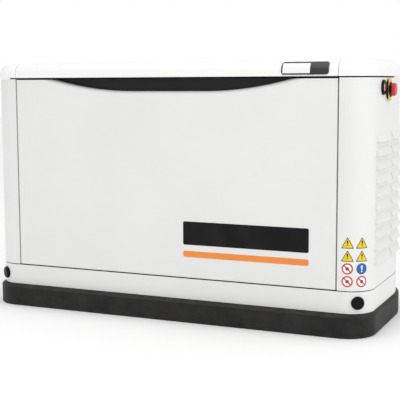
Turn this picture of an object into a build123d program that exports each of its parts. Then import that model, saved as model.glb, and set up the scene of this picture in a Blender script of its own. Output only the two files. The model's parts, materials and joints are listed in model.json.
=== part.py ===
"""Home standby generator: a sheet-steel cabinet on a moulded pad, with the engine and alternator inside.

Millimetres, +Z up.  The origin is the centre of the pad's underside and the front faces -Y.
"""
from build123d import *
import math
import os

# ---- overall sizes
pad_length = 1218.0
pad_depth = 638.0
total_height = 756.0
pad_height = 65.7
pad_edge_height = 57.8
end_overhang = 8.0
front_overhang = 21.0
rear_overhang = 19.0
front_corner_radius = 70.0
rear_corner_radius = 300.0

# ---- sheet metal
sheet = 2.0
bend = 1.2
flange_width = 30.0
band_height = 60.0
gasket_height = 2.7
gasket_inset = 3.0
gasket_width = 12.0
door_width = 1020.0
door_gap = 4.0
door_depth = 28.0
door_lift = 0.4
rear_opening_width = 600.0

# ---- lid
lid_height = 48.0
lid_gap = 3.7
lid_overhang = 3.0
lid_sheet = 3.0
lid_lean = 5.0
lid_edge_radius = 32.0
crown_radius = 7400.0
lid_joint_gap = 1.4

# ---- front panel grip
grip_depth = 34.0
grip_flat = 120.0
grip_radius = 977.0
grip_roll = 17.0

# ---- louvers
louver_rows = 10
louver_pitch = 37.0
louver_base = 68.0
louver_height = 25.0
louver_bulge = 10.0
louver_columns = ((68.0, 215.0), (236.0, 383.0))

# ---- fits
running_clearance = 0.05
free_clearance = 0.5
hinge_pin_radius = 2.5
hinge_knuckle_radius = 5.5
lock_barrel_radius = 13.9
lock_cylinder_radius = 10.0
stop_stem_radius = 9.0
lifting_hole_radius = 15.0
plug_lip = 3.4
plug_height = 7.0
plug_rounding = 5.0
anchor_hole_radius = 7.0
anchor_end_distance = 171.0
anchor_side_distance = 64.0
gas_pipe_radius = 13.35
gas_pipe_bore = 10.4
conduit_hole_radius = 22.0

# ---- engine and alternator
crank_height = 300.0
crank_y = 20.0
shaft_radius = 17.5
cylinder_bore = 45.0
bank_angle = 45.0
bank_offset = 18.0
stator_radius = 150.0
rotor_radius = 88.0
muffler_bay = 256.0

# ---- worked-out places
half_pad = pad_length / 2
half_body = half_pad - end_overhang
front = -pad_depth / 2 + front_overhang
rear = pad_depth / 2 - rear_overhang
band_top = pad_height + band_height
panel_bottom = band_top + gasket_height
lid_bottom = total_height - lid_height
panel_top = lid_bottom - lid_gap
door_half = door_width / 2
post_x = door_half + door_gap
rear_half = rear_opening_width / 2
door_bottom = panel_bottom + door_lift
door_top = panel_top - 2.3
grip_floor = door_top - grip_depth
tray_floor_top = pad_height + sheet
divider_x = half_body - muffler_bay

CABINET = (half_body, front, rear, front_corner_radius, rear_corner_radius)
PAD = (half_pad, -pad_depth / 2, pad_depth / 2, front_corner_radius + 15, rear_corner_radius + 14)
TOP_OPENING = (half_body - flange_width, front + 50, rear - flange_width,
               40.0, rear_corner_radius - flange_width)

os.makedirs("parts", exist_ok=True)


# ---------------------------------------------------------------- helpers

def write_piece(name, label):
    """Label a finished piece and write its STEP file."""
    name.part.label = label
    export_step(name.part, f"parts/{label}.step")


def outline(plan, grow=0.0, mode=Mode.ADD):
    """Plan outline grown outwards by grow, tighter at the front corners than at the rear ones."""
    side, front_line, rear_line, front_radius, rear_radius = plan
    side = side + grow
    corners = (
        (-side, front_line - grow),
        (side, front_line - grow),
        (side, rear_line + grow),
        (-side, rear_line + grow),
    )
    radii = (front_radius + grow, front_radius + grow, rear_radius + grow, rear_radius + grow)
    with BuildLine() as border:
        FilletPolyline(*corners, radius=radii, close=True)
    make_face(border.edges(), mode=mode)


def ring(plan, z, height, outer, inner):
    """Band between two offsets of a plan outline."""
    with BuildSketch(Plane.XY.offset(z)) as band:
        outline(plan, outer)
        outline(plan, inner, mode=Mode.SUBTRACT)
    extrude(band.sketch, amount=height)


def block(x, y, z, mode=Mode.ADD):
    """Box between three pairs of coordinates."""
    with Locations(((x[0] + x[1]) / 2, (y[0] + y[1]) / 2, (z[0] + z[1]) / 2)):
        Box(x[1] - x[0], y[1] - y[0], z[1] - z[0], mode=mode)


def rod(start, direction, length, radius, mode=Mode.ADD):
    """Round bar from start along direction."""
    with BuildSketch(Plane(origin=start, z_dir=direction)) as section:
        Circle(radius)
    extrude(section.sketch, amount=length, mode=mode)


def tube(start, direction, length, outer, inner):
    """Round tube from start along direction."""
    with BuildSketch(Plane(origin=start, z_dir=direction)) as section:
        Circle(outer)
        Circle(inner, mode=Mode.SUBTRACT)
    extrude(section.sketch, amount=length)


def corner_point(side, rearward, turn, reach):
    """Point and direction on a corner arc, turned from the front or back normal towards the end."""
    radius = rear_corner_radius if rearward else front_corner_radius
    centre_y = rear - radius if rearward else front + radius
    across = side * math.sin(math.radians(turn))
    along = math.cos(math.radians(turn)) * (1 if rearward else -1)
    centre_x = side * (half_body - radius)
    return (centre_x + across * reach, centre_y + along * reach), (across, along, 0), radius


# ---------------------------------------------------------------- pad and base tray

anchor_x = half_body - anchor_end_distance
anchor_y = (rear - front) / 2 - anchor_side_distance
anchor_mid_y = (rear + front) / 2
lift_z = pad_height + band_height / 2
lift_points = [(side, rearward) for side in (-1, 1) for rearward in (False, True)]
lift_turn = {False: 34.0, True: 45.0}
gas_x = -250.0
gas_z = 190.0
conduit_x = 235.0
conduit_z = 200.0

with BuildPart() as base_pad:
    with BuildSketch():
        outline(PAD)
    extrude(amount=pad_edge_height)
    with BuildSketch(Plane.XY.offset(pad_edge_height)):
        outline(PAD)
    with BuildSketch(Plane.XY.offset(pad_height)):
        outline(CABINET, 1.5)
    loft()
    chamfer(base_pad.faces().sort_by(Axis.Z)[0].edges(), 3)
    with Locations((0, anchor_mid_y, pad_height)):
        with GridLocations(2 * anchor_x, 2 * anchor_y, 2, 2):
            Hole(anchor_hole_radius, depth=pad_height)
write_piece(base_pad, "base_pad")

with BuildPart() as base_tray:
    with BuildSketch(Plane.XY.offset(pad_height)):
        outline(CABINET)
    extrude(amount=sheet)
    ring(CABINET, tray_floor_top, band_height - 2 * sheet, 0, -sheet)
    ring(CABINET, band_top - sheet, sheet, 0, -flange_width)
    fillet(base_tray.faces().sort_by(Axis.Z)[-1].outer_wire().edges(), bend)
    with Locations((0, anchor_mid_y, tray_floor_top)):
        with GridLocations(2 * anchor_x, 2 * anchor_y, 2, 2):
            Hole(anchor_hole_radius, depth=sheet)
    for side, rearward in lift_points:
        reach = (rear_corner_radius if rearward else front_corner_radius) - 10
        spot, way, _ = corner_point(side, rearward, lift_turn[rearward], reach)
        rod((*spot, lift_z), way, 20, lifting_hole_radius, mode=Mode.SUBTRACT)
write_piece(base_tray, "base_tray")



def lifting_hole_plug(side, rearward):
    """Domed plug in one lifting hole, its lip seated on the curved band."""
    turn = lift_turn[rearward]
    spot, way, radius = corner_point(side, rearward, turn, 0)
    with BuildPart() as cap:
        with BuildSketch(Plane(origin=(*spot, lift_z), z_dir=way).offset(radius - 6)):
            Circle(lifting_hole_radius + plug_lip)
        extrude(amount=plug_height + 6)
        outer_point = corner_point(side, rearward, turn, radius + plug_height)[0]
        outer_face = cap.faces().filter_by(GeomType.PLANE).sort_by_distance((*outer_point, lift_z))[0]
        fillet(outer_face.edges(), plug_rounding)
        rod((*spot, lift_z - 25), (0, 0, 1), 50, radius, mode=Mode.SUBTRACT)
        with BuildSketch(Plane(origin=(*spot, lift_z), z_dir=way).offset(radius - sheet - 6)):
            Circle(lifting_hole_radius - free_clearance)
        extrude(amount=sheet + 9)
    return cap.part


with BuildPart() as lifting_hole_plugs:
    for side, rearward in lift_points:
        add(lifting_hole_plug(side, rearward))
write_piece(lifting_hole_plugs, "lifting_hole_plugs")

with BuildPart() as weather_seals:
    ring(CABINET, band_top, gasket_height, -gasket_inset, -gasket_inset - gasket_width)
    ring(TOP_OPENING, panel_top, lid_gap - 0.4, 14, 2)
write_piece(weather_seals, "weather_seals")


# ---------------------------------------------------------------- end panels and rear panel

lock_y = front + 128.0
lock_z = 677.0
stop_y = front + 185.0
stop_z = 671.0


def end_panel(openings):
    """Wrap-round panel for the +X end, with round openings given as (y, z, radius)."""
    reach = half_body + 50
    panel_height = panel_top - panel_bottom
    louver_slope = math.degrees(math.atan(louver_bulge / louver_height))

    def hoods(grow, lift, inset):
        with BuildPart() as hood:
            for row in range(louver_rows):
                z = panel_bottom + louver_base + row * louver_pitch
                with BuildSketch(Plane.XY.offset(z)):
                    outline(CABINET, grow)
                extrude(amount=louver_height + lift, taper=louver_slope)
        windows = []
        for near, far in louver_columns:
            with BuildPart() as window:
                block((0, reach), (front + near + inset, front + far - inset), (panel_bottom, panel_top))
            windows.append(window.part & hood.part)
        return windows

    with BuildPart() as core:
        with BuildSketch(Plane.XY.offset(panel_bottom)):
            outline(CABINET, -sheet)
        extrude(amount=panel_height)
    with BuildPart() as panel:
        ring(CABINET, panel_bottom, panel_height, 0, -sheet)
        for outer in hoods(louver_bulge, 0, 0):
            add(outer - core.part)
        for inner in hoods(louver_bulge - sheet, 0, sheet):
            add(inner, mode=Mode.SUBTRACT)
        ring(CABINET, panel_bottom, sheet, -sheet, -flange_width)
        with BuildSketch(Plane.XY.offset(panel_top - sheet)):
            outline(CABINET, -sheet)
            outline(TOP_OPENING, mode=Mode.SUBTRACT)
        extrude(amount=sheet)
        block((-reach, post_x), (front - 50, 0), (panel_bottom, panel_top), mode=Mode.SUBTRACT)
        block((-reach, rear_half), (0, rear + 50), (panel_bottom, panel_top), mode=Mode.SUBTRACT)
        block((post_x, post_x + sheet), (front, front + flange_width), (panel_bottom, panel_top))
        block((rear_half, rear_half + sheet), (rear - flange_width, rear), (panel_bottom, panel_top))
        corner = panel.edges().filter_by(Axis.Z).filter_by_position(Axis.X, post_x - 0.1, post_x + 0.1)
        fillet(corner.filter_by_position(Axis.Y, front - 0.1, front + 0.1), bend)
        for y, z, radius in openings:
            rod((half_body - 20, y, z), (1, 0, 0), 40, radius, mode=Mode.SUBTRACT)
    return panel.part


lock_opening = (lock_y, lock_z, lock_barrel_radius + running_clearance)
stop_opening = (stop_y, stop_z, stop_stem_radius + 2)

with BuildPart() as right_end_panel:
    add(end_panel((lock_opening, stop_opening)))
write_piece(right_end_panel, "right_end_panel")

with BuildPart() as left_end_panel:
    add(end_panel((lock_opening,)).mirror(Plane.YZ))
write_piece(left_end_panel, "left_end_panel")

with BuildPart() as rear_panel:
    edge = rear_half - 0.4
    block((-edge, edge), (rear - sheet, rear), (panel_bottom, panel_top))
    block((-edge, edge), (rear - flange_width, rear), (panel_top - sheet, panel_top))
    block((-edge, edge), (rear - flange_width, rear), (panel_bottom, panel_bottom + sheet))
    for side in (-1, 1):
        block(sorted((side * (edge - sheet), side * edge)), (rear - flange_width, rear),
              (panel_bottom, panel_top))
    rod((gas_x, rear - 10, gas_z), (0, 1, 0), 20, gas_pipe_radius + free_clearance, mode=Mode.SUBTRACT)
    rod((conduit_x, rear - 10, conduit_z), (0, 1, 0), 20, conduit_hole_radius, mode=Mode.SUBTRACT)
write_piece(rear_panel, "rear_panel")

front_rail_y = (front + flange_width + 2, front + flange_width + 20)
front_rail_z = (panel_top - 40, panel_top)

with BuildPart() as front_rail:
    block((-post_x, post_x), front_rail_y, front_rail_z)
    block((-post_x, post_x), (front_rail_y[0] + sheet, front_rail_y[1]),
          (front_rail_z[0] - 1, front_rail_z[1] - sheet), mode=Mode.SUBTRACT)
write_piece(front_rail, "front_rail")


# ---------------------------------------------------------------- front panel

def front_panel_block(inset):
    """Solid block of the front panel with its grip scooped from the top edge, pulled in by inset."""
    half = door_half - inset
    top = door_top - inset
    low = door_bottom + inset
    radius = grip_radius + inset
    rise = math.degrees(math.acos((grip_floor + grip_radius - top) / radius))
    with BuildPart() as panel:
        with BuildSketch(Plane.XZ.offset(-front - inset)):
            with BuildLine():
                right = JernArc((grip_flat, grip_floor - inset), (1, 0), radius, rise)
                left = JernArc((-grip_flat, grip_floor - inset), (-1, 0), radius, -rise)
                Line(left @ 0, right @ 0)
                Polyline(left @ 1, (-half, top), (-half, low), (half, low), (half, top), right @ 1)
            make_face()
        extrude(amount=inset - door_depth)
        face_edges = panel.faces().sort_by(Axis.Y)[0].edges()
        rolled = [edge for edge in face_edges if edge.center().Z > grip_floor - 5
                  and edge.center().Z < top - 1 and abs(edge.center().X) < half - 20]
        fillet(rolled, grip_roll - inset)
        straight = panel.faces().sort_by(Axis.Y)[0].edges().filter_by(GeomType.LINE)
        border = [edge for edge in straight if edge.length > 50 and not
                  (abs(edge.center().X) < 1 and edge.center().Z > low + 50)]
        fillet([edge for edge in border if edge.center().Z < top - 5], 3.0 - inset)
    return panel.part


with BuildPart() as front_panel:
    add(front_panel_block(0))
    add(front_panel_block(sheet), mode=Mode.SUBTRACT)
write_piece(front_panel, "front_panel")

with BuildPart() as front_panel_liner:
    block((-door_half + 12, door_half - 12), (front + sheet, front + 22),
          (door_bottom + 12, grip_floor - 25))
    fillet(front_panel_liner.faces().sort_by(Axis.Y)[-1].edges(), 6)
write_piece(front_panel_liner, "front_panel_liner")


# ---------------------------------------------------------------- lid

lid_split_x = post_x - door_gap / 2


def lid_block(inset):
    """Solid block of the lid: leaning sides and a crowned top, pulled in by inset."""
    with BuildPart() as shape:
        with BuildSketch(Plane.XY.offset(lid_bottom)):
            outline(CABINET, lid_overhang - inset)
        extrude(amount=lid_height + 2, taper=lid_lean)
        rod((-half_pad, anchor_mid_y, total_height - inset - crown_radius), (1, 0, 0), pad_length,
            crown_radius, mode=Mode.INTERSECT)
        fillet(shape.faces().sort_by(Axis.Z)[-1].edges(), lid_edge_radius - inset)
    return shape.part


def lid_patch(thickness, x, y, z):
    """Plate of even thickness lying on the lid's outside, within a box."""
    with BuildPart() as window:
        block(x, y, z)
    return (lid_block(-thickness) - lid_block(0)) & window.part


lid_shell = lid_block(0) - lid_block(lid_sheet)
middle = lid_split_x - lid_joint_gap / 2
outside = lid_split_x + lid_joint_gap / 2
lid_z = (lid_bottom - 1, total_height + 1)
lid_y = (front - 20, rear + 20)

with BuildPart() as lid_skin:
    add(lid_shell)
    block((-middle, middle), lid_y, lid_z, mode=Mode.INTERSECT)
write_piece(lid_skin, "lid_skin")

with BuildPart() as lid_end_caps:
    add(lid_shell)
    block((-outside, outside), lid_y, lid_z, mode=Mode.SUBTRACT)
write_piece(lid_end_caps, "lid_end_caps")

with BuildPart() as lid_liner:
    add(lid_block(lid_sheet))
    block((-half_body + 34, half_body - 34), (front + 34, rear - 34), (lid_bottom + 12, total_height),
          mode=Mode.INTERSECT)
write_piece(lid_liner, "lid_liner")

badge_x = (352.0, 486.0)
badge_z = (lid_bottom + 4, lid_bottom + 39)
with BuildPart() as badge_window:
    with BuildSketch(Plane.XZ.offset(-front - 20)):
        with Locations(((badge_x[0] + badge_x[1]) / 2, (badge_z[0] + badge_z[1]) / 2)):
            RectangleRounded(badge_x[1] - badge_x[0], badge_z[1] - badge_z[0], 8)
    extrude(amount=60)
with BuildPart() as lid_badge:
    add((lid_block(-2) - lid_block(0)) & badge_window.part)
write_piece(lid_badge, "lid_badge")


# ---------------------------------------------------------------- lid hinges

hinge_y = rear + 10.0
hinge_z = lid_bottom - 5.0
hinge_width = 84.0
hinge_centres = (-220.0, 220.0)
knuckle = hinge_width / 3

with BuildPart() as hinge_wall_leaves:
    for centre in hinge_centres:
        span = (centre - hinge_width / 2, centre + hinge_width / 2)
        block(span, (rear, rear + 2.5), (hinge_z - 43, hinge_z - 3))
        for start in (span[0], span[1] - knuckle + 0.3):
            rod((start, hinge_y, hinge_z), (1, 0, 0), knuckle - 0.3, hinge_knuckle_radius)
            block((start, start + knuckle - 0.3), (rear, hinge_y), (hinge_z - 5.5, hinge_z - 3))
        rod((span[0], hinge_y, hinge_z), (1, 0, 0), hinge_width, hinge_pin_radius + running_clearance,
            mode=Mode.SUBTRACT)
        rod((span[0] - 1, hinge_y, hinge_z), (1, 0, 0), hinge_width + 2, hinge_pin_radius)
write_piece(hinge_wall_leaves, "hinge_wall_leaves")


with BuildPart() as hinge_lid_leaves:
    for centre in hinge_centres:
        inner = (centre - knuckle / 2 + 0.3, centre + knuckle / 2 - 0.3)
        add(lid_patch(2.5, (centre - hinge_width / 2, centre + hinge_width / 2), (rear - 10, rear + 20),
                      (lid_bottom + 0.5, lid_bottom + 26)))
        rod((inner[0], hinge_y, hinge_z), (1, 0, 0), inner[1] - inner[0], hinge_knuckle_radius)
        block(inner, (rear + 4.5, rear + 7.5), (hinge_z, lid_bottom + 3))
    add(lid_block(0), mode=Mode.SUBTRACT)
    for centre in hinge_centres:
        rod((centre - hinge_width / 2, hinge_y, hinge_z), (1, 0, 0), hinge_width,
            hinge_pin_radius + running_clearance, mode=Mode.SUBTRACT)
write_piece(hinge_lid_leaves, "hinge_lid_leaves")


# ---------------------------------------------------------------- side locks and their strikes

lock_reach = 32.0
lock_face = 7.0
cam_reach = 27.0
cam_sheet = 3.0
finger = 6.0
cam_x = half_body - lock_reach - 0.5


def lock_body():
    """Bezel outside the wall and threaded barrel through it, for the +X end."""
    with BuildPart() as body:
        rod((half_body, lock_y, lock_z), (1, 0, 0), 6, 21)
        fillet(body.faces().sort_by(Axis.X)[-1].edges(), 2.5)
        rod((half_body - lock_reach, lock_y, lock_z), (1, 0, 0), lock_reach, lock_barrel_radius)
        with BuildSketch(Plane(origin=(half_body - sheet - 6, lock_y, lock_z), z_dir=(1, 0, 0))):
            RegularPolygon(17, 6)
        extrude(amount=6)
        rod((half_body - lock_reach - 1, lock_y, lock_z), (1, 0, 0), lock_reach + 20,
            lock_cylinder_radius + running_clearance, mode=Mode.SUBTRACT)
    return body.part


def lock_cylinder():
    """Key cylinder with its slot, and the cam on its inner end that hooks the strike when turned."""
    cam_start = cam_x - cam_sheet
    with BuildPart() as body:
        rod((half_body - lock_reach - 0.5, lock_y, lock_z), (1, 0, 0), lock_reach + lock_face + 0.5,
            lock_cylinder_radius)
        fillet(body.faces().sort_by(Axis.X)[-1].edges(), 1)
        block((half_body + lock_face - 6, half_body + lock_face + 1), (lock_y - 0.9, lock_y + 0.9),
              (lock_z - 4.5, lock_z + 4.5), mode=Mode.SUBTRACT)
        block((cam_start, cam_x), (lock_y - 6, lock_y + 6), (lock_z - 8, lock_z + cam_reach))
        block((cam_start - 12, cam_start), (lock_y - 3, lock_y + 3),
              (lock_z + cam_reach - finger, lock_z + cam_reach))
    return body.part


with BuildPart() as lock_bodies:
    add(lock_body())
    add(lock_body().mirror(Plane.YZ))
write_piece(lock_bodies, "lock_bodies")

with BuildPart() as right_lock_cylinder:
    add(lock_cylinder())
write_piece(right_lock_cylinder, "right_lock_cylinder")

with BuildPart() as left_lock_cylinder:
    add(lock_cylinder().mirror(Plane.YZ))
write_piece(left_lock_cylinder, "left_lock_cylinder")

strike_y = (lock_y + 16, lock_y + 34)
lip_top = lock_z - finger / 2 - 0.7
strike_back = cam_x - cam_sheet - 21

with BuildPart() as lid_frame:
    with BuildSketch(Plane.XY.offset(lid_bottom)):
        outline(CABINET, -1.5)
        outline(TOP_OPENING, -12, mode=Mode.SUBTRACT)
    extrude(amount=sheet)
    for side in (-1, 1):
        for reach, z in ((3, (lip_top - 6, lid_bottom)), (18, (lip_top - 6, lip_top)),
                         (TOP_OPENING[0] - 1 - strike_back, (lid_bottom - 3, lid_bottom))):
            block(sorted((side * strike_back, side * (strike_back + reach))), strike_y, z)
write_piece(lid_frame, "lid_frame")


# ---------------------------------------------------------------- emergency stop

stop_base_height = 5.5
stop_base_radius = 26.0
stop_plate_height = 2.0
stop_plate_width = 34.0
stop_plate_length = 66.0
stop_collar_height = 2.2
stop_collar_radius = 20.5
stop_neck_radius = stop_stem_radius + 1.95
stop_travel = 3.0
stop_head_height = 11.0
stop_head_radius = 18.5
stop_block_depth = 38.0
stop_block_half = 20.0
spigot = 6.0
stop_face = half_body + stop_base_height
stop_collar_face = stop_face + stop_plate_height + stop_collar_height
stop_head = stop_collar_face + stop_travel + 0.3

with BuildPart() as estop_base:
    rod((half_body, stop_y, stop_z), (1, 0, 0), stop_base_height, stop_base_radius)
    fillet(estop_base.faces().sort_by(Axis.X)[-1].edges(), 2)
    rod((half_body - sheet, stop_y, stop_z), (1, 0, 0), stop_collar_face - half_body + sheet,
        stop_neck_radius)
    rod((stop_face + stop_plate_height, stop_y, stop_z), (1, 0, 0), stop_collar_height, stop_collar_radius)
    block((half_body - sheet - stop_block_depth, half_body - sheet),
          (stop_y - stop_block_half, stop_y + stop_block_half),
          (stop_z - stop_block_half, stop_z + stop_block_half))
    rod((half_body - sheet - 30, stop_y, stop_z), (1, 0, 0), 60, stop_stem_radius + running_clearance,
        mode=Mode.SUBTRACT)
write_piece(estop_base, "estop_base")

with BuildPart() as estop_plate:
    with BuildSketch(Plane(origin=(stop_face, stop_y, stop_z), x_dir=(0, 1, 0), z_dir=(1, 0, 0))):
        SlotOverall(stop_plate_length, stop_plate_width, rotation=90)
        Circle(stop_neck_radius + running_clearance, mode=Mode.SUBTRACT)
    extrude(amount=stop_plate_height)
write_piece(estop_plate, "estop_plate")

with BuildPart() as estop_stem:
    rod((half_body - sheet - 20, stop_y, stop_z), (1, 0, 0), stop_head + spigot - half_body + sheet + 20,
        stop_stem_radius)
write_piece(estop_stem, "estop_stem")

with BuildPart() as estop_button:
    rod((stop_head, stop_y, stop_z), (1, 0, 0), stop_head_height, stop_head_radius)
    fillet(estop_button.faces().sort_by(Axis.X)[-1].edges(), 5.5)
    fillet(estop_button.faces().sort_by(Axis.X)[0].edges(), 2)
    rod((stop_head - 1, stop_y, stop_z), (1, 0, 0), spigot + 1.3, stop_stem_radius + running_clearance,
        mode=Mode.SUBTRACT)
write_piece(estop_button, "estop_button")


# ---------------------------------------------------------------- engine

crank_x = divider_x - 175.0
case_half = 85.0
case_radius = 118.0
case_wall = 12.0
barrel_start = 120.0
deck = 210.0
head_height = 58.0
cover_height = 30.0
fin_half = 78.0
rail_height = 40.0
rail_y = (crank_y - 75.0, crank_y + 75.0)
mount_height = 26.0
feet_z = tray_floor_top + rail_height + mount_height
banks = ((-1, bank_offset), (1, -bank_offset))


def bank_plane(lean, shift, reach):
    """Plane across a cylinder bank, reach millimetres from the crank, with +Z along the bank."""
    angle = math.radians(bank_angle) * lean
    way = (0, math.sin(angle), math.cos(angle))
    start = (crank_x + shift, crank_y + way[1] * reach, crank_height + way[2] * reach)
    return Plane(origin=start, x_dir=(1, 0, 0), z_dir=way)


with BuildPart() as crankcase:
    rod((crank_x - case_half, crank_y, crank_height), (1, 0, 0), 2 * case_half, case_radius)
    block((crank_x - case_half, crank_x + case_half), (crank_y - 105, crank_y + 105),
          (feet_z + 14, crank_height - 20))
    fillet(crankcase.edges().filter_by(Axis.X).group_by(Axis.Z)[0], 18)
    for lean, shift in banks:
        with BuildSketch(bank_plane(lean, shift, 0)):
            Rectangle(120, 120)
        extrude(amount=barrel_start)
    rod((crank_x - case_half + case_wall, crank_y, crank_height), (1, 0, 0), 2 * (case_half - case_wall),
        72, mode=Mode.SUBTRACT)
    for lean, shift in banks:
        with BuildSketch(bank_plane(lean, shift, 40)):
            Circle(cylinder_bore + 4)
        extrude(amount=barrel_start, mode=Mode.SUBTRACT)
    rod((crank_x - case_half - 1, crank_y, crank_height), (1, 0, 0), 2 * case_half + 2, 31,
        mode=Mode.SUBTRACT)
    for y in rail_y:
        block((crank_x - case_half, crank_x + case_half), (y - 28, y + 28), (feet_z, feet_z + 14))
write_piece(crankcase, "crankcase")

# ---- crankshaft, cooling fan and alternator places along the shaft
fan_x = crank_x + case_half + 14
stator_length = 210.0
stator_end = crank_x - case_half - 40
stator_start = stator_end - stator_length
shaft_start = stator_start - 62
shaft_end = fan_x + 40

with BuildPart() as shaft_bearings:
    for start, width in ((crank_x - case_half, case_wall), (crank_x + case_half - case_wall, case_wall),
                         (stator_start - 10, 10)):
        tube((start, crank_y, crank_height), (1, 0, 0), width, 31, shaft_radius + running_clearance)
write_piece(shaft_bearings, "shaft_bearings")

with BuildPart() as cylinders:
    for lean, shift in banks:
        with BuildSketch(bank_plane(lean, shift, barrel_start)):
            Circle(cylinder_bore + 9)
        extrude(amount=deck - barrel_start)
        for fin in range(8):
            with BuildSketch(bank_plane(lean, shift, barrel_start + 8 + fin * 10)):
                RectangleRounded(2 * fin_half - 30, 2 * fin_half - 30, 12)
            extrude(amount=3)
        with BuildSketch(bank_plane(lean, shift, barrel_start)):
            Circle(cylinder_bore)
        extrude(amount=deck - barrel_start, mode=Mode.SUBTRACT)
write_piece(cylinders, "cylinders")

with BuildPart() as pistons:
    for lean, shift in banks:
        with BuildSketch(bank_plane(lean, shift, deck - 72)):
            Circle(cylinder_bore - running_clearance)
            Circle(cylinder_bore - 8, mode=Mode.SUBTRACT)
        extrude(amount=52)
        with BuildSketch(bank_plane(lean, shift, deck - 28)):
            Circle(cylinder_bore - 8)
        extrude(amount=8)
write_piece(pistons, "pistons")

plug_planes = [
    Plane(origin=bank_plane(lean, shift + fin_half - 50, deck + head_height / 2).origin, z_dir=(1, 0, 0))
    for lean, shift in banks
]

with BuildPart() as cylinder_heads:
    for lean, shift in banks:
        with BuildSketch(bank_plane(lean, shift, deck)):
            Rectangle(2 * fin_half - 40, 2 * fin_half - 40)
        extrude(amount=head_height)
        for fin in range(5):
            with BuildSketch(bank_plane(lean, shift, deck + 3 + fin * 11)):
                RectangleRounded(2 * fin_half - 12, 2 * fin_half - 12, 12)
            extrude(amount=3.5)
    for plane in plug_planes:
        with BuildSketch(plane):
            Circle(7)
        extrude(amount=60, mode=Mode.SUBTRACT)
write_piece(cylinder_heads, "cylinder_heads")

with BuildPart() as spark_plugs:
    for plane in plug_planes:
        with BuildSketch(plane.offset(2)):
            Circle(6.5)
        extrude(amount=46)
        with BuildSketch(plane.offset(48)):
            RegularPolygon(10, 6)
        extrude(amount=8)
        with BuildSketch(plane.offset(56)):
            Circle(5)
        extrude(amount=14)
write_piece(spark_plugs, "spark_plugs")

with BuildPart() as rocker_covers:
    for lean, shift in banks:
        with BuildSketch(bank_plane(lean, shift, deck + head_height)):
            RectangleRounded(2 * fin_half - 30, 2 * fin_half - 50, 14)
        extrude(amount=cover_height, taper=8)
write_piece(rocker_covers, "rocker_covers")

with BuildPart() as crankshaft:
    rod((shaft_start, crank_y, crank_height), (1, 0, 0), shaft_end - shaft_start, shaft_radius)
    for web in (-46, -8, 30):
        with BuildSketch(Plane(origin=(crank_x + web, crank_y, crank_height), z_dir=(1, 0, 0))) as web_face:
            SlotCenterToCenter(48, 50, rotation=90)
        extrude(web_face.sketch, amount=16)
write_piece(crankshaft, "crankshaft")

with BuildPart() as cooling_fan:
    tube((fan_x, crank_y, crank_height), (1, 0, 0), 6, 92, shaft_radius)
    tube((fan_x, crank_y, crank_height), (1, 0, 0), 34, 30, shaft_radius)
    for blade in range(12):
        angle = blade * 30
        with BuildSketch(Plane(origin=(fan_x + 6, crank_y, crank_height), z_dir=(1, 0, 0))) as blade_face:
            with Locations(Rot(0, 0, angle) * Pos(70, 0, 0)):
                Rectangle(42, 4, rotation=25)
        extrude(blade_face.sketch, amount=24)
write_piece(cooling_fan, "cooling_fan")

with BuildPart() as blower_housing:
    tube((fan_x - 12, crank_y, crank_height), (1, 0, 0), 56, 106, 103)
    tube((fan_x + 44, crank_y, crank_height), (1, 0, 0), 3, 106, 62)
    tube((fan_x - 14, crank_y, crank_height), (1, 0, 0), 2, 106, 84)
write_piece(blower_housing, "blower_housing")

# ---- breathing
mixer_z = crank_height + 175.0
cleaner_z = mixer_z + 62.0
with BuildPart() as fuel_mixer:
    rod((crank_x, crank_y, mixer_z), (0, 0, 1), 62, 26)
    rod((crank_x, crank_y, mixer_z + 30), (-1, 0, 0), 52, 11)
    block((crank_x - 38, crank_x + 38), (crank_y - 30, crank_y + 30), (mixer_z - 8, mixer_z))
    rod((crank_x, crank_y, mixer_z - 10), (0, 0, 1), 90, 18, mode=Mode.SUBTRACT)
write_piece(fuel_mixer, "fuel_mixer")

with BuildPart() as air_cleaner_box:
    block((crank_x - 100, crank_x + 80), (crank_y - 95, crank_y + 95), (cleaner_z, cleaner_z + 62))
    fillet(air_cleaner_box.edges().filter_by(Axis.Z), 22)
    block((crank_x - 97, crank_x + 77), (crank_y - 92, crank_y + 92), (cleaner_z + 3, cleaner_z + 63),
          mode=Mode.SUBTRACT)
    rod((crank_x, crank_y, cleaner_z - 1), (0, 0, 1), 6, 18, mode=Mode.SUBTRACT)
write_piece(air_cleaner_box, "air_cleaner_box")

with BuildPart() as air_cleaner_cover:
    block((crank_x - 103, crank_x + 83), (crank_y - 98, crank_y + 98), (cleaner_z + 62, cleaner_z + 74))
    fillet(air_cleaner_cover.edges().filter_by(Axis.Z), 24)
    fillet(air_cleaner_cover.faces().sort_by(Axis.Z)[-1].edges(), 6)
write_piece(air_cleaner_cover, "air_cleaner_cover")

# ---- lubrication and starting
with BuildPart() as oil_filter:
    filter_x = crank_x - 45
    rod((filter_x, crank_y - 105, crank_height - 86), (0, -1, 0), 8, 30)
    rod((filter_x, crank_y - 113, crank_height - 86), (0, -1, 0), 78, 38)
    fillet(oil_filter.faces().sort_by(Axis.Y)[0].edges(), 8)
write_piece(oil_filter, "oil_filter")

with BuildPart() as oil_filler_cap:
    cap_x = crank_x + 50
    rod((cap_x, crank_y - 105, crank_height - 70), (0, -1, 0), 20, 13)
    rod((cap_x, crank_y - 125, crank_height - 70), (0, -1, 0), 16, 19)
    fillet(oil_filler_cap.faces().sort_by(Axis.Y)[0].edges(), 3)
write_piece(oil_filler_cap, "oil_filler_cap")

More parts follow.
